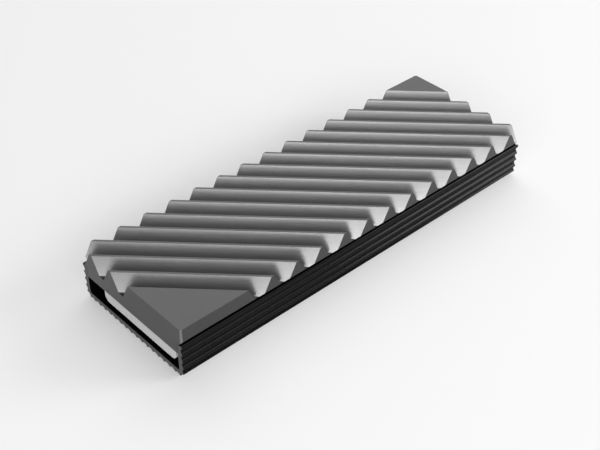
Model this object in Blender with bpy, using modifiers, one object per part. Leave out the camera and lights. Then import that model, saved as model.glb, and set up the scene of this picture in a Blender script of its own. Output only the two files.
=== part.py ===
"""Finned heat sink for a 22 mm wide solid-state drive board, with its ribbed tray.

Metres, +Z up. X runs along the board and the near open end is at -X. The origin is in the middle of
the underside, on the tips of the tray's ribs.
"""
import math

import bmesh
import bpy
from mathutils import Matrix

MM = 0.001

# Board that the tray is made for, and its play on each side
BOARD_WIDTH = 22.0 * MM
BOARD_PLAY = 0.37 * MM

# Both metal pieces
LENGTH = 75.0 * MM

# Tray: an extruded channel, open at both ends, with lengthwise ribs on its outside
WALL = 1.13 * MM
FLOOR = 1.20 * MM
LIP_ROUND = 0.40 * MM
# From the deck's lower outer edge down to the centre of the lip's round
LIP_DROP = 1.02 * MM
TRAY_CORNER_RADIUS = 1.50 * MM
INNER_CORNER_RADIUS = 0.30 * MM
RIB_PITCH = 1.37 * MM
RIB_LAND = 0.22 * MM
RIB_DEPTH = 0.34 * MM
CORNER_RIBS = 2
SCALLOP_STEPS = 6

# Heat sink: a base that drops between the tray's walls and a wider deck with slanting grooves,
# undercut along its two long sides so that it sits inside the walls' lips
SLOT_HEIGHT = 3.30 * MM
BASE_HEIGHT = 2.00 * MM
DECK_HEIGHT = 3.30 * MM
UNDERCUT_HEIGHT = 0.87 * MM
UNDERCUT_REACH = 0.74 * MM
BASE_CLEARANCE = 0.30 * MM
SEAT_GAP = 0.30 * MM
SINK_CORNER_RADIUS = 0.40 * MM
SINK_CORNER_SEGMENTS = 4

# Grooves across the heat sink
GROOVE_ANGLE = math.radians(45)
GROOVE_PITCH = 3.5355 * MM
GROOVE_DEPTH = 3.05 * MM
GROOVE_FLANK_ANGLE = math.radians(21)
GROOVE_FILLET = 0.30 * MM
RIDGE_WIDTH = 0.42 * MM
NEAR_CORNER_LEG = 12.56 * MM
FAR_CORNER_LEAST_LEG = 7.0 * MM
CUTTER_RISE = RIDGE_WIDTH / 2

# Soft pad under the heat sink, nearer to the wall at -Y than to the wall at +Y
PAD_THICKNESS = 1.80 * MM
PAD_EDGE_RADIUS = 1.10 * MM
PAD_CLEARANCE_AT_MINUS_Y = 0.67 * MM
PAD_CLEARANCE_AT_PLUS_Y = 4.17 * MM
PAD_END_SETBACK = 0.15 * MM
PAD_SEAT_GAP = 0.30 * MM

# Smoothness of round corners
ARC_STEPS = 6
FILLET_STEPS = 4
WELD_DISTANCE = 0.002 * MM
FLAT_ANGLE = math.radians(0.5)

# Sizes that follow
INNER_HALF_WIDTH = BOARD_WIDTH / 2 + BOARD_PLAY
HALF_WIDTH = INNER_HALF_WIDTH + WALL
BASE_BOTTOM = FLOOR + SLOT_HEIGHT
DECK_BOTTOM = BASE_BOTTOM + BASE_HEIGHT
SINK_TOP = DECK_BOTTOM + DECK_HEIGHT
DECK_EDGE = DECK_BOTTOM + UNDERCUT_HEIGHT
UNDERCUT_ANGLE = math.atan2(UNDERCUT_HEIGHT, UNDERCUT_REACH)
LEDGE = DECK_BOTTOM - SEAT_GAP
LIP_CENTRE = DECK_EDGE - LIP_DROP
BASE_HALF_WIDTH = INNER_HALF_WIDTH - BASE_CLEARANCE

# Turns a section drawn as (y, z) so that it is extruded along X
ALONG_X = Matrix(((0, 0, 1, 0), (1, 0, 0, 0), (0, 1, 0, 0), (0, 0, 0, 1)))


def clear_scene():
    for item in list(bpy.data.objects):
        bpy.data.objects.remove(item, do_unlink=True)


def new_collection(name):
    collection = bpy.data.collections.new(name)
    bpy.context.scene.collection.children.link(collection)
    return collection


def material(name, colour, roughness, metallic):
    made = bpy.data.materials.new(name)
    made.use_nodes = True
    shader = made.node_tree.nodes["Principled BSDF"]
    shader.inputs["Base Color"].default_value = (*colour, 1.0)
    shader.inputs["Roughness"].default_value = roughness
    shader.inputs["Metallic"].default_value = metallic
    made.diffuse_color = (*colour, 1.0)
    return made


def arc(centre, radius, start, end, steps=ARC_STEPS):
    """Points on a circle from one angle to another, in degrees."""
    points = []
    for step in range(steps + 1):
        angle = math.radians(start + (end - start) * step / steps)
        points.append((centre[0] + radius * math.cos(angle), centre[1] + radius * math.sin(angle)))
    return points


def extrusion(name, outline, length, placement, collection):
    """A closed flat outline, extruded by half the length to each side and made a mesh."""
    curve = bpy.data.curves.new(name, "CURVE")
    curve.dimensions = "2D"
    curve.fill_mode = "BOTH"
    curve.extrude = length / 2
    spline = curve.splines.new("POLY")
    spline.points.add(len(outline) - 1)
    for point, (x, y) in zip(spline.points, outline):
        point.co = (x, y, 0.0, 1.0)
    spline.use_cyclic_u = True
    guide = bpy.data.objects.new(name + "_outline", curve)
    guide.matrix_world = placement
    collection.objects.link(guide)
    bpy.context.view_layer.update()

    evaluated = guide.evaluated_get(bpy.context.evaluated_depsgraph_get())
    mesh = bpy.data.meshes.new_from_object(evaluated)
    mesh.name = name
    weld = bmesh.new()
    weld.from_mesh(mesh)
    bmesh.ops.remove_doubles(weld, verts=weld.verts, dist=WELD_DISTANCE)
    bmesh.ops.recalc_face_normals(weld, faces=weld.faces)
    weld.to_mesh(mesh)
    weld.free()

    solid = bpy.data.objects.new(name, mesh)
    solid.matrix_world = guide.matrix_world.copy()
    collection.objects.link(solid)
    bpy.data.objects.remove(guide, do_unlink=True)
    return solid


def shade(solid, degrees=30):
    solid.data.shade_smooth()
    solid.data.set_sharp_from_angle(angle=math.radians(degrees))


def envelope(distance):
    """The tray's outer line over its rib tips, by the distance from the middle of the underside.

    Gives the point and the direction into the metal, both as (y, z).
    """
    flat = HALF_WIDTH - TRAY_CORNER_RADIUS
    corner = TRAY_CORNER_RADIUS * math.pi / 2
    if distance <= flat:
        return (distance, 0.0), (0.0, 1.0)
    if distance >= flat + corner:
        return (HALF_WIDTH, TRAY_CORNER_RADIUS + distance - flat - corner), (-1.0, 0.0)
    angle = (distance - flat) / TRAY_CORNER_RADIUS
    inward = (-math.sin(angle), math.cos(angle))
    point = (flat - TRAY_CORNER_RADIUS * inward[0], TRAY_CORNER_RADIUS * (1.0 - inward[1]))
    return point, inward


def rib_distances():
    """Where the rib tips lie along the envelope, from the middle of the underside to the wall's top."""
    flat = HALF_WIDTH - TRAY_CORNER_RADIUS
    corner = TRAY_CORNER_RADIUS * math.pi / 2
    bottom = [RIB_PITCH / 2]
    while bottom[-1] + RIB_PITCH < flat:
        bottom.append(bottom[-1] + RIB_PITCH)
    wall_start = flat + corner
    wall = [wall_start + LIP_CENTRE - RIB_LAND / 2 - TRAY_CORNER_RADIUS]
    while wall[0] - RIB_PITCH > wall_start:
        wall.insert(0, wall[0] - RIB_PITCH)
    spacing = (wall[0] - bottom[-1]) / (CORNER_RIBS + 1)
    between = [bottom[-1] + spacing * (rib + 1) for rib in range(CORNER_RIBS)]
    return bottom + between + wall


def scallop(start, end):
    """A hollow between two rib tips, a circular arc deep in its middle."""
    half_chord = (end - start) / 2
    radius = (half_chord ** 2 + RIB_DEPTH ** 2) / (2 * RIB_DEPTH)
    points = []
    for step in range(SCALLOP_STEPS + 1):
        offset = half_chord * (2 * step / SCALLOP_STEPS - 1)
        depth = math.sqrt(radius ** 2 - offset ** 2) - (radius - RIB_DEPTH)
        point, inward = envelope((start + end) / 2 + offset)
        points.append((point[0] + inward[0] * depth, point[1] + inward[1] * depth))
    return points


def wall_lip():
    """The wall's top: a round outside, then a slope inward along the deck's undercut to a flat ledge."""
    centre_y = HALF_WIDTH - LIP_ROUND
    slope_shift = SEAT_GAP / math.sin(UNDERCUT_ANGLE)
    slope_at_centre = HALF_WIDTH + slope_shift - LIP_DROP / math.tan(UNDERCUT_ANGLE)
    off_slope = (centre_y - slope_at_centre) * math.sin(UNDERCUT_ANGLE)
    crest = 90 + math.degrees(UNDERCUT_ANGLE) - math.degrees(math.acos(off_slope / LIP_ROUND))
    foot = slope_at_centre - (LIP_CENTRE - LEDGE) / math.tan(UNDERCUT_ANGLE)
    return arc((centre_y, LIP_CENTRE), LIP_ROUND, 0, crest) + [(foot, LEDGE), (INNER_HALF_WIDTH, LEDGE)]


def tray_half_outline():
    """The tray's section at +Y, from the middle of its underside round to the middle of its floor."""
    tips = rib_distances()
    points = []
    middle = scallop(RIB_LAND / 2 - tips[0], tips[0] - RIB_LAND / 2)
    points += [(y, z) for y, z in middle if y > 0.0]
    for tip, following in zip(tips, tips[1:]):
        points += scallop(tip + RIB_LAND / 2, following - RIB_LAND / 2)
    points += wall_lip()
    inner_centre = (INNER_HALF_WIDTH - INNER_CORNER_RADIUS, FLOOR + INNER_CORNER_RADIUS)
    points += arc(inner_centre, INNER_CORNER_RADIUS, 0, -90)
    return points


def ribbed_tray(collection, finish):
    half = tray_half_outline()
    mirrored = [(-y, z) for y, z in reversed(half)]
    solid = extrusion("ribbed_tray", half + mirrored, LENGTH, ALONG_X, collection)
    solid.data.materials.append(finish)
    shade(solid)
    return solid


def sink_outline():
    """The heat sink's section before its grooves are cut."""
    half = [
        (BASE_HALF_WIDTH, BASE_BOTTOM),
        (BASE_HALF_WIDTH, DECK_BOTTOM),
        (HALF_WIDTH - UNDERCUT_REACH, DECK_BOTTOM),
        (HALF_WIDTH, DECK_EDGE),
        (HALF_WIDTH, SINK_TOP),
    ]
    return half + [(-y, z) for y, z in reversed(half)]


def round_upright_corners(solid):
    """Rounds the four upright edges where the deck's long sides meet its ends."""
    flat = bmesh.new()
    flat.from_mesh(solid.data)
    bmesh.ops.dissolve_limit(flat, angle_limit=FLAT_ANGLE, verts=flat.verts, edges=flat.edges)
    flat.to_mesh(solid.data)
    flat.free()
    weights = solid.data.attributes.new("bevel_weight_edge", "FLOAT", "EDGE")
    points = solid.data.vertices
    for edge in solid.data.edges:
        ends = [solid.matrix_world @ points[index].co for index in edge.vertices]
        on_side = all(abs(end.y) > HALF_WIDTH - WELD_DISTANCE for end in ends)
        upright = abs(ends[0].z - ends[1].z) > WELD_DISTANCE
        weights.data[edge.index].value = 1.0 if on_side and upright else 0.0
    rounding = solid.modifiers.new("upright_corners", "BEVEL")
    rounding.limit_method = "WEIGHT"
    rounding.width = SINK_CORNER_RADIUS
    rounding.segments = SINK_CORNER_SEGMENTS


def hide_as_cutter(solid):
    solid.hide_render = True
    solid.display_type = "WIRE"


def groove_outline():
    """One groove's section from its filleted floor up past the deck, as (across, up from its floor)."""
    half_mouth = (GROOVE_PITCH - RIDGE_WIDTH) / 2
    slope = math.tan(GROOVE_FLANK_ANGLE)
    half_floor = half_mouth - GROOVE_DEPTH * slope
    flank_degrees = math.degrees(GROOVE_FLANK_ANGLE)
    tangent = GROOVE_FILLET / math.tan(math.radians(90 + flank_degrees) / 2)
    centre = (half_floor - tangent, GROOVE_FILLET)
    half = arc(centre, GROOVE_FILLET, -90, -flank_degrees, FILLET_STEPS)
    half.append((half_mouth + CUTTER_RISE * slope, GROOVE_DEPTH + CUTTER_RISE))
    return half + [(-across, up) for across, up in reversed(half)]


def groove_centres():
    """Each groove's distance from the middle, square to its run.

    The near corner keeps a flat triangle of a set size, and the far corner keeps at least one of a
    least size, so a longer heat sink gets more grooves.
    """
    across_x = math.cos(GROOVE_ANGLE)
    across_y = math.sin(GROOVE_ANGLE)
    corner = LENGTH / 2 * across_x + HALF_WIDTH * across_y
    first_edge = NEAR_CORNER_LEG * across_x - corner
    last_edge = corner - FAR_CORNER_LEAST_LEG * across_x
    count = int((last_edge - first_edge + RIDGE_WIDTH) / GROOVE_PITCH)
    first_centre = first_edge + (GROOVE_PITCH - RIDGE_WIDTH) / 2
    return [first_centre + GROOVE_PITCH * groove for groove in range(count)]


def groove_cutters(cutters):
    """One cutter for each groove, crossing the middle line at the groove's own place."""
    cosine = math.cos(GROOVE_ANGLE)
    sine = math.sin(GROOVE_ANGLE)
    length = 2 * (HALF_WIDTH + GROOVE_PITCH) / cosine
    floor = SINK_TOP - GROOVE_DEPTH
    for number, centre in enumerate(groove_centres(), start=1):
        placement = Matrix((
            (cosine, 0.0, sine, centre / cosine),
            (sine, 0.0, -cosine, 0.0),
            (0.0, 1.0, 0.0, floor),
            (0.0, 0.0, 0.0, 1.0),
        ))
        cutter = extrusion(f"groove_cutter_{number:02d}", groove_outline(), length, placement, cutters)
        hide_as_cutter(cutter)


def finned_heat_sink(collection, cutters, finish):
    solid = extrusion("finned_heat_sink", sink_outline(), LENGTH, ALONG_X, collection)
    round_upright_corners(solid)
    groove_cutters(cutters)
    cut = solid.modifiers.new("grooves", "BOOLEAN")
    cut.operation = "DIFFERENCE"
    cut.operand_type = "COLLECTION"
    cut.collection = cutters
    solid.data.materials.append(finish)
    shade(solid)
    return solid


def thermal_pad(collection, finish):
    """A soft strip with round lower edges, set a little to one side under the heat sink's base."""
    left = PAD_CLEARANCE_AT_MINUS_Y - INNER_HALF_WIDTH
    right = INNER_HALF_WIDTH - PAD_CLEARANCE_AT_PLUS_Y
    top = BASE_BOTTOM - PAD_SEAT_GAP
    arc_height = top - PAD_THICKNESS + PAD_EDGE_RADIUS
    outline = [(right, top), (left, top)]
    outline += arc((left + PAD_EDGE_RADIUS, arc_height), PAD_EDGE_RADIUS, 180, 270)
    outline += arc((right - PAD_EDGE_RADIUS, arc_height), PAD_EDGE_RADIUS, 270, 360)
    length = LENGTH - 2 * PAD_END_SETBACK
    solid = extrusion("thermal_pad", outline, length, ALONG_X, collection)
    solid.data.materials.append(finish)
    shade(solid)
    return solid


def main():
    clear_scene()
    parts = new_collection("ssd_heat_sink")
    cutters = new_collection("groove_cutters")
    ribbed_tray(parts, material("black_anodised", (0.012, 0.012, 0.013), 0.35, 0.6))
    finned_heat_sink(parts, cutters, material("grey_anodised", (0.15, 0.15, 0.15), 0.4, 0.6))
    thermal_pad(parts, material("grey_silicone", (0.58, 0.58, 0.58), 0.75, 0.0))


main()
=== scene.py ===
import math

import bmesh
import bpy
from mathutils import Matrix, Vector, noise


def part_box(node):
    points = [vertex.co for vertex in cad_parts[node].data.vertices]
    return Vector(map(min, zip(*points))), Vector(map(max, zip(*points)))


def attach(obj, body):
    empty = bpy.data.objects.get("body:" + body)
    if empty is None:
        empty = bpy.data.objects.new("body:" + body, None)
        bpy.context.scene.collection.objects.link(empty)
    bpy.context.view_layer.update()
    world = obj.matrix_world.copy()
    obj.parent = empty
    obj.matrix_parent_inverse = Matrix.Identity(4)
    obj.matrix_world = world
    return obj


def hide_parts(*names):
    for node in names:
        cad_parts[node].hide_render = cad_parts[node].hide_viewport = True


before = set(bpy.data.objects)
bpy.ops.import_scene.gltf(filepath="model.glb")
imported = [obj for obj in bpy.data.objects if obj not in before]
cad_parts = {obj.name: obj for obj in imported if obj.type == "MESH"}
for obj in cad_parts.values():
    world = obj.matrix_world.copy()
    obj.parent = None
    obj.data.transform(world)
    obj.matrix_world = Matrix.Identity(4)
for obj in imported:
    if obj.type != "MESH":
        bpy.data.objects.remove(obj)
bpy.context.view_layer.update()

MM = 0.001
SCENE = bpy.context.scene
BODY = "root"

# The camera, solved from the photograph's perspective, with its angles in degrees
CAMERA_PLACE = Vector((-100.662, -106.587, 117.985)) * MM
CAMERA_AZIMUTH = -42.373
CAMERA_ELEVATION = 38.534
CAMERA_LENS = 66.637
CAMERA_SENSOR_WIDTH = 36.0
CAMERA_CLIP_START = 10.0 * MM

# Edges of the metal pieces that turn by more than ROUNDED_DEGREES get this rounding
ROUNDED_DEGREES = 30
SINK_EDGE = 0.10 * MM
SINK_EDGE_SEGMENTS = 3
TRAY_EDGE = 0.09 * MM
TRAY_EDGE_SEGMENTS = 2

# Points this close become one, and faces this flat to each other become one
WELD = 0.001 * MM
FLAT_DEGREES = 0.5

# Edges that turn by more than this stay sharp in the shading
METAL_SHARP_DEGREES = 32
PAD_SHARP_DEGREES = 40

# Where the heat sink fits the tray: the solids keep a gap there, and the pieces seen are closer
BASE_HALF_WIDTH = 11.07 * MM
INNER_HALF_WIDTH = 11.37 * MM
LEDGE = 6.20 * MM
LEDGE_FOOT = 11.898 * MM
DECK_BOTTOM = 6.50 * MM
CLOSE_FIT = 0.01 * MM
NEAR = 0.01 * MM

# The deck's undercut runs outwards by 0.74 mm while it rises by 0.87 mm
UNDERCUT_RUN = 0.74 / 0.87

# The grooves cross the heat sink at this angle to +X
GROOVE_DEGREES = 45.0
GROOVE_DEPTH = 3.05 * MM
SINK_TOP = 9.80 * MM

# The pad's form: its lower edges are round and its skin waves a little
PAD_EDGE_RADIUS = 1.10 * MM
PAD_SEAT_GAP = 0.005 * MM
PAD_WAVE = 0.035 * MM
PAD_WAVE_SCALE = 420.0
PAD_SIDE_WAVE_SHARE = 0.5
PAD_ARC_STEPS = 8
PAD_ACROSS_STEPS = 36
PAD_LENGTH_STEPS = 150

# Below, a noise is given as scale, detail and roughness, and a bump as strength and depth.
# Nearly all of a noise lies between these two values.
NOISE_LOW = 0.3
NOISE_HIGH = 0.7

# Heat sink: greys of its outer faces, and of the groove flanks from the top to the floor
# The flanks are lighter than the outer faces partly for their milled finish and partly as painted light;
# their lightening towards the floor is painted light in the groove bottoms
FACE_GREYS = (0.075, 0.083)
MILLED_AND_PAINTED_LIGHT_FLANK_GREYS = (0.185, 0.255)
FLANK_FACING = (0.80, 0.90)
SINK_CLOUD = (260.0, 3.0, 0.6)
SINK_GRAIN = (11000.0, 3.0, 0.7)
SINK_GRAIN_RANGE = (0.35, 0.65)
SINK_GRAIN_SHADE = (0.94, 1.06)
SINK_GRAIN_BUMP = (0.25, 0.02 * MM)
CUTTER_LINES = (9000.0, 2.0, 0.6)
CUTTER_LINE_STRETCH = 0.012
CUTTER_LINE_SHADE = 0.05
CUTTER_LINE_BUMP = (0.20, 0.02 * MM)
SINK_ROUGHNESS = (0.31, 0.35)
SINK_GRAIN_ROUGHNESS = 0.02

# Tray: greys of its drawn skin and of its sawn ends
SKIN_GREYS = (0.0015, 0.003)
SAWN_GREYS = (0.07, 0.12)
SAWN_FACING = (0.90, 0.98)
TRAY_CLOUD = (220.0, 2.0, 0.5)
TRAY_GRAIN = (9000.0, 2.0, 0.6)
TRAY_GRAIN_BUMP = (0.12, 0.01 * MM)
DIE_LINES = (8000.0, 3.0, 0.6)
DIE_LINE_STRETCH = 0.008
DIE_LINE_BUMP = (0.15, 0.02 * MM)
SKIN_ROUGHNESS = (0.17, 0.20)
SAWN_EXTRA_ROUGHNESS = 0.22
TRAY_SPECULAR = 0.08

# Pad: greys of its mottled skin, and the shade of its fine specks
PAD_GREYS = (0.55, 0.63)
PAD_MOTTLE = (1500.0, 3.0, 0.6)
PAD_MOTTLE_BUMP = (0.35, 0.05 * MM)
PAD_SPECKS = (9000.0, 2.0, 0.6)
PAD_SPECK_RANGE = (0.30, 0.42)
PAD_SPECK_SHADE = (0.80, 1.0)
PAD_SPECK_BUMP = (0.2, 0.02 * MM)
PAD_ROUGHNESS = 0.72

# Floor and surroundings
FLOOR_SIZE = 8.0
FLOOR_DROP = 0.02 * MM
FLOOR_GREY = 0.60
FLOOR_GLOW = 0.27
WORLD_STRENGTH = 0.04

# Soft boxes: name, azimuth, elevation, width, height and brightness. Azimuth 0 is at -Y and grows
# towards +X. Angles are in degrees, and sizes and the distance are in metres.
LAMP_DISTANCE = 0.60
LAMPS = (
    ("back_box", 138, 41, 0.80, 0.46, 1.95),
    ("top_box", 137, 82, 0.50, 0.36, 1.1),
    ("front_box", -42, 29, 0.90, 0.19, 4.7),
    ("side_box", -54, 14, 0.30, 0.13, 3.1),
    ("middle_box", -26, 14, 0.26, 0.13, 1.8),
    ("low_box", -39, 4.5, 0.24, 0.085, 6.8),
    ("low_side_box", -60, 4.5, 0.18, 0.085, 1.7),
    ("far_low_box", 53, 8, 0.24, 0.16, 9.0),
    ("far_box", 51, 26, 0.26, 0.14, 13.0),
    ("right_box", 18, 26, 0.26, 0.14, 5.5),
)


def set_up_camera():
    data = bpy.data.cameras.new("camera")
    data.lens = CAMERA_LENS
    data.sensor_width = CAMERA_SENSOR_WIDTH
    data.clip_start = CAMERA_CLIP_START
    camera = bpy.data.objects.new("camera", data)
    camera.location = CAMERA_PLACE
    tilt = math.radians(90 - CAMERA_ELEVATION)
    camera.rotation_euler = (tilt, 0.0, math.radians(CAMERA_AZIMUTH))
    SCENE.collection.objects.link(camera)
    SCENE.camera = camera
    SCENE.view_settings.view_transform = "Standard"


class Nodes:
    """Short calls for building one shader."""

    def __init__(self, tree):
        self.tree = tree
        self.tree.nodes.clear()

    def add(self, kind, inputs=None, **settings):
        node = self.tree.nodes.new("ShaderNode" + kind)
        for name, value in settings.items():
            setattr(node, name, value)
        for socket, value in (inputs or {}).items():
            self.feed(node.inputs[socket], value)
        return node

    def feed(self, socket, value):
        if isinstance(value, bpy.types.NodeSocket):
            self.tree.links.new(value, socket)
        else:
            socket.default_value = value

    def place(self):
        """Where a point lies on the object."""
        return self.add("TexCoord").outputs["Object"]

    def normal(self):
        return self.add("NewGeometry").outputs["Normal"]

    def part(self, vector, axis):
        return self.add("SeparateXYZ", {"Vector": vector}).outputs[axis]

    def stretch(self, vector, scale):
        return self.add("Mapping", {"Vector": vector, "Scale": scale}).outputs["Vector"]

    def maths(self, operation, first, second=0.0, third=0.0):
        inputs = {0: first, 1: second, 2: third}
        return self.add("Math", inputs, operation=operation).outputs[0]

    def remap(self, value, low, high, to_low, to_high):
        inputs = {"Value": value, "From Min": low, "From Max": high, "To Min": to_low, "To Max": to_high}
        return self.add("MapRange", inputs).outputs["Result"]

    def spread(self, value, to_low, to_high):
        """Spreads a noise over the range given."""
        return self.remap(value, NOISE_LOW, NOISE_HIGH, to_low, to_high)

    def facing(self, part, least, full):
        """Rises from 0 to 1 while a part of the normal grows from least to full, to either side."""
        return self.remap(self.maths("ABSOLUTE", part), least, full, 0.0, 1.0)

    def noise(self, place, scale, detail, roughness):
        inputs = {"Vector": place, "Scale": scale, "Detail": detail, "Roughness": roughness}
        return self.add("TexNoise", inputs).outputs["Fac"]

    def mix(self, amount, first, second):
        node = self.add("Mix", data_type="RGBA")
        self.feed(node.inputs["Factor"], amount)
        self.feed(node.inputs["A"], first)
        self.feed(node.inputs["B"], second)
        return node.outputs["Result"]

    def grey_mix(self, amount, greys):
        """Goes from the first grey to the second by amount."""
        return self.mix(amount, grey(greys[0]), grey(greys[1]))

    def times(self, colour, amount):
        inputs = {0: colour, 1: amount}
        return self.add("VectorMath", inputs, operation="MULTIPLY").outputs["Vector"]

    def bump(self, height, strength, depth, under=None):
        """A bump, laid over the one under it where there is one."""
        inputs = {"Height": height, "Strength": strength, "Distance": depth}
        if under is not None:
            inputs["Normal"] = under
        return self.add("Bump", inputs).outputs["Normal"]

    def principled(self, inputs):
        """The material's own shader, fed to its output."""
        shader = self.add("BsdfPrincipled", inputs)
        self.add("OutputMaterial", {"Surface": shader.outputs["BSDF"]})


def grey(value):
    return (value, value, value, 1.0)


def new_material(name):
    made = bpy.data.materials.new(name)
    made.use_nodes = True
    return made, Nodes(made.node_tree)


def blasted_metal():
    """Dark grey anodised aluminium: a fine blasted grain, with faint cutter lines along the grooves. The
    groove flanks are lighter than the outer faces, partly for their milled finish and partly as painted
    light, and lighten towards the groove floor as painted light.
    """
    made, nodes = new_material("grey_anodised")
    turn = math.radians(-GROOVE_DEGREES)
    place = nodes.place()
    turned = nodes.add("Mapping", {"Vector": place, "Rotation": (0, 0, turn)}).outputs["Vector"]
    across = nodes.add("VectorRotate", {"Vector": nodes.normal(), "Angle": turn}, rotation_type="Z_AXIS")
    flank = nodes.facing(nodes.part(across.outputs["Vector"], "X"), *FLANK_FACING)

    lines = nodes.noise(nodes.stretch(turned, (1.0, CUTTER_LINE_STRETCH, 1.0)), *CUTTER_LINES)
    grain = nodes.noise(place, *SINK_GRAIN)
    cloud = nodes.noise(place, *SINK_CLOUD)

    faces = nodes.grey_mix(nodes.spread(cloud, 0.0, 1.0), FACE_GREYS)
    # Painted light: the flank grey lightens from the top of the groove to its floor, standing in for
    # light in the groove bottoms
    depth = nodes.remap(nodes.part(place, "Z"), SINK_TOP - GROOVE_DEPTH, SINK_TOP, 1.0, 0.0)
    colour = nodes.mix(flank, faces, nodes.grey_mix(depth, MILLED_AND_PAINTED_LIGHT_FLANK_GREYS))
    speckle = nodes.remap(grain, *SINK_GRAIN_RANGE, *SINK_GRAIN_SHADE)
    line_shade = nodes.spread(lines, -CUTTER_LINE_SHADE, CUTTER_LINE_SHADE)
    lined = nodes.maths("MULTIPLY_ADD", line_shade, flank, speckle)
    cloud_rough = nodes.spread(cloud, *SINK_ROUGHNESS)
    grain_rough = nodes.spread(grain, -SINK_GRAIN_ROUGHNESS, SINK_GRAIN_ROUGHNESS)

    grain_bump = nodes.bump(grain, *SINK_GRAIN_BUMP)
    flank_lines = nodes.maths("MULTIPLY", lines, flank)
    nodes.principled({
        "Base Color": nodes.times(colour, lined),
        "Metallic": 1.0,
        "Roughness": nodes.maths("ADD", cloud_rough, grain_rough),
        "Normal": nodes.bump(flank_lines, *CUTTER_LINE_BUMP, grain_bump),
    })
    return made


def black_extrusion():
    """Satin black anodised aluminium with faint die lines along the run and paler sawn ends."""
    made, nodes = new_material("black_anodised")
    place = nodes.place()
    sawn = nodes.facing(nodes.part(nodes.normal(), "X"), *SAWN_FACING)

    lines = nodes.noise(nodes.stretch(place, (DIE_LINE_STRETCH, 1.0, 1.0)), *DIE_LINES)
    grain = nodes.noise(place, *TRAY_GRAIN)
    cloud = nodes.noise(place, *TRAY_CLOUD)

    skin = nodes.grey_mix(cloud, SKIN_GREYS)
    cut = nodes.grey_mix(grain, SAWN_GREYS)
    skin_rough = nodes.spread(lines, *SKIN_ROUGHNESS)
    line_bump = nodes.bump(lines, *DIE_LINE_BUMP)
    nodes.principled({
        "Base Color": nodes.mix(sawn, skin, cut),
        "Metallic": 0.0,
        "Roughness": nodes.maths("MULTIPLY_ADD", sawn, SAWN_EXTRA_ROUGHNESS, skin_rough),
        "Specular IOR Level": TRAY_SPECULAR,
        "Normal": nodes.bump(grain, *TRAY_GRAIN_BUMP, line_bump),
    })
    return made


def silicone():
    """Light grey filled silicone: matt, slightly mottled, with fine filler specks."""
    made, nodes = new_material("grey_silicone")
    place = nodes.place()
    mottle = nodes.noise(place, *PAD_MOTTLE)
    specks = nodes.noise(place, *PAD_SPECKS)

    colour = nodes.grey_mix(nodes.spread(mottle, 0.0, 1.0), PAD_GREYS)
    dots = nodes.remap(specks, *PAD_SPECK_RANGE, *PAD_SPECK_SHADE)
    mottle_bump = nodes.bump(mottle, *PAD_MOTTLE_BUMP)
    nodes.principled({
        "Base Color": nodes.times(colour, dots),
        "Roughness": PAD_ROUGHNESS,
        "Normal": nodes.bump(specks, *PAD_SPECK_BUMP, mottle_bump),
    })
    return made


def fit_base(made):
    """Brings the sides of the heat sink's base out to the tray's walls."""
    for vert in made.verts:
        if abs(abs(vert.co.y) - BASE_HALF_WIDTH) < NEAR:
            vert.co.y = math.copysign(INNER_HALF_WIDTH - CLOSE_FIT, vert.co.y)


def fit_ledge(made):
    """Brings the ledge on the tray's walls up to the heat sink's deck."""
    rise = DECK_BOTTOM - CLOSE_FIT - LEDGE
    for vert in made.verts:
        if abs(vert.co.z - LEDGE) < NEAR:
            vert.co.z += rise
            if abs(abs(vert.co.y) - LEDGE_FOOT) < NEAR:
                vert.co.y += math.copysign(rise * UNDERCUT_RUN, vert.co.y)


def new_piece(made, name, sharp_degrees, material):
    """Turns a finished form into a shaded object of the scene."""
    mesh = bpy.data.meshes.new(name)
    made.to_mesh(mesh)
    made.free()
    mesh.shade_smooth()
    mesh.set_sharp_from_angle(angle=math.radians(sharp_degrees))
    mesh.materials.append(material)
    piece = bpy.data.objects.new(name, mesh)
    SCENE.collection.objects.link(piece)
    return piece


def rounded_copy(node, name, fit, width, segments, material):
    """A piece with the node's own form, its flat faces made whole again and its edges rounded."""
    made = bmesh.new()
    made.from_mesh(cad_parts[node].data)
    bmesh.ops.remove_doubles(made, verts=made.verts, dist=WELD)
    flat = math.radians(FLAT_DEGREES)
    bmesh.ops.dissolve_limit(made, angle_limit=flat, verts=made.verts, edges=made.edges)
    fit(made)
    sharp = [e for e in made.edges if e.calc_face_angle(0.0) > math.radians(ROUNDED_DEGREES)]
    bmesh.ops.bevel(made, geom=sharp, offset=width, offset_type="OFFSET", segments=segments,
                    profile=0.5, affect="EDGES", clamp_overlap=True, miter_outer="SHARP")
    bmesh.ops.remove_doubles(made, verts=made.verts, dist=WELD)
    piece = new_piece(made, name, METAL_SHARP_DEGREES, material)
    weighted = piece.modifiers.new("even_normals", "WEIGHTED_NORMAL")
    weighted.keep_sharp = True
    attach(piece, BODY)
    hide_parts(node)


def quarter_round(y, z, start):
    """Points of one round lower edge of the pad, about a centre at y and z."""
    points = []
    for step in range(PAD_ARC_STEPS + 1):
        angle = start + math.pi / 2 * step / PAD_ARC_STEPS
        points.append((y + PAD_EDGE_RADIUS * math.cos(angle), z + PAD_EDGE_RADIUS * math.sin(angle)))
    return points


def pad_outline(low, high, top):
    """The pad's section, from the lower edge at -Y along the underside and back over the top."""
    first = low.y + PAD_EDGE_RADIUS
    last = high.y - PAD_EDGE_RADIUS
    centre = low.z + PAD_EDGE_RADIUS
    ring = quarter_round(first, centre, math.pi)
    for step in range(1, PAD_ACROSS_STEPS):
        ring.append((first + (last - first) * step / PAD_ACROSS_STEPS, low.z))
    ring += quarter_round(last, centre, -math.pi / 2)
    for step in range(PAD_ACROSS_STEPS + 1):
        ring.append((high.y + (low.y - high.y) * step / PAD_ACROSS_STEPS, top))
    return ring


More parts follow.
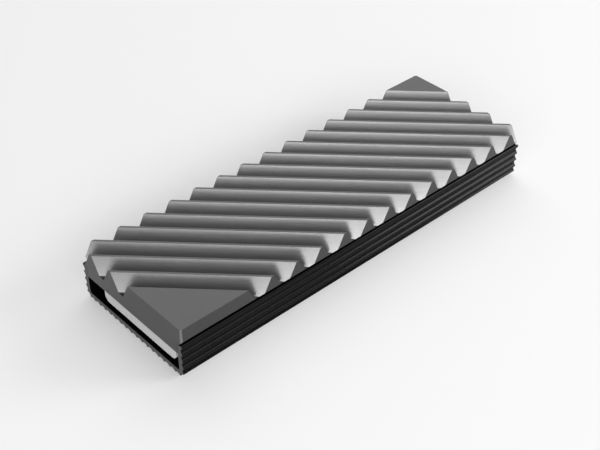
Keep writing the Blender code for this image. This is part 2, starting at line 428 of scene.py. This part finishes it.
def soft_pad(material):
    """The pad pressed against the heat sink: round lower edges, a slightly uneven skin and cut ends."""
    low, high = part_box("thermal_pad")
    sink_low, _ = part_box("finned_heat_sink")
    top = sink_low.z - PAD_SEAT_GAP
    ring = pad_outline(low, high, top)

    made = bmesh.new()
    rows = []
    for step in range(PAD_LENGTH_STEPS + 1):
        x = low.x + (high.x - low.x) * step / PAD_LENGTH_STEPS
        row = []
        for y, z in ring:
            wave = noise.noise(Vector((x, y, z)) * PAD_WAVE_SCALE) * PAD_WAVE if z < top else 0.0
            row.append(made.verts.new((x, y + wave * PAD_SIDE_WAVE_SHARE, z + wave)))
        rows.append(row)
    count = len(ring)
    for near, far in zip(rows, rows[1:]):
        for index in range(count):
            following = (index + 1) % count
            made.faces.new((near[index], near[following], far[following], far[index]))
    made.faces.new(rows[0])
    made.faces.new(list(reversed(rows[-1])))
    bmesh.ops.recalc_face_normals(made, faces=made.faces)
    piece = new_piece(made, "soft_pad", PAD_SHARP_DEGREES, material)
    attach(piece, BODY)
    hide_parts("thermal_pad")


def soft_box(name, azimuth, elevation, width, height, brightness):
    """A flat lamp that faces the object and isn't seen itself."""
    data = bpy.data.lights.new(name, "AREA")
    data.shape = "RECTANGLE"
    data.size = width
    data.size_y = height
    data.energy = brightness * math.pi * width * height
    lamp = bpy.data.objects.new(name, data)
    turn = math.radians(azimuth)
    tilt = math.radians(elevation)
    out = Vector((math.sin(turn) * math.cos(tilt), -math.cos(turn) * math.cos(tilt), math.sin(tilt)))
    lamp.location = out * LAMP_DISTANCE
    lamp.rotation_euler = (-out).to_track_quat("-Z", "Y").to_euler()
    lamp.visible_camera = False
    SCENE.collection.objects.link(lamp)


def studio():
    """A pale floor under soft boxes: one behind, one overhead, and the rest in front and at the right."""
    world = bpy.data.worlds.new("studio")
    world.use_nodes = True
    SCENE.world = world
    nodes = Nodes(world.node_tree)
    background = nodes.add("Background", {"Color": grey(1.0), "Strength": WORLD_STRENGTH})
    nodes.add("OutputWorld", {"Surface": background.outputs["Background"]})

    bpy.ops.mesh.primitive_plane_add(size=FLOOR_SIZE, location=(0.0, 0.0, -FLOOR_DROP))
    floor = bpy.context.object
    floor.name = "floor"
    pale, nodes = new_material("pale_floor")
    matt = nodes.add("BsdfDiffuse", {"Color": grey(FLOOR_GREY)})
    rays = nodes.add("LightPath")
    seen = nodes.maths("MAXIMUM", rays.outputs["Is Camera Ray"], rays.outputs["Is Glossy Ray"])
    seen = nodes.maths("MAXIMUM", seen, rays.outputs["Is Transmission Ray"])
    glow = nodes.add("Emission", {"Color": grey(FLOOR_GLOW), "Strength": seen})
    both = nodes.add("AddShader", {0: matt.outputs["BSDF"], 1: glow.outputs["Emission"]})
    nodes.add("OutputMaterial", {"Surface": both.outputs["Shader"]})
    floor.data.materials.append(pale)

    for lamp in LAMPS:
        soft_box(*lamp)


set_up_camera()
studio()
rounded_copy("finned_heat_sink", "heat_sink_metal", fit_base,
             SINK_EDGE, SINK_EDGE_SEGMENTS, blasted_metal())
rounded_copy("ribbed_tray", "tray_metal", fit_ledge,
             TRAY_EDGE, TRAY_EDGE_SEGMENTS, black_extrusion())
soft_pad(silicone())
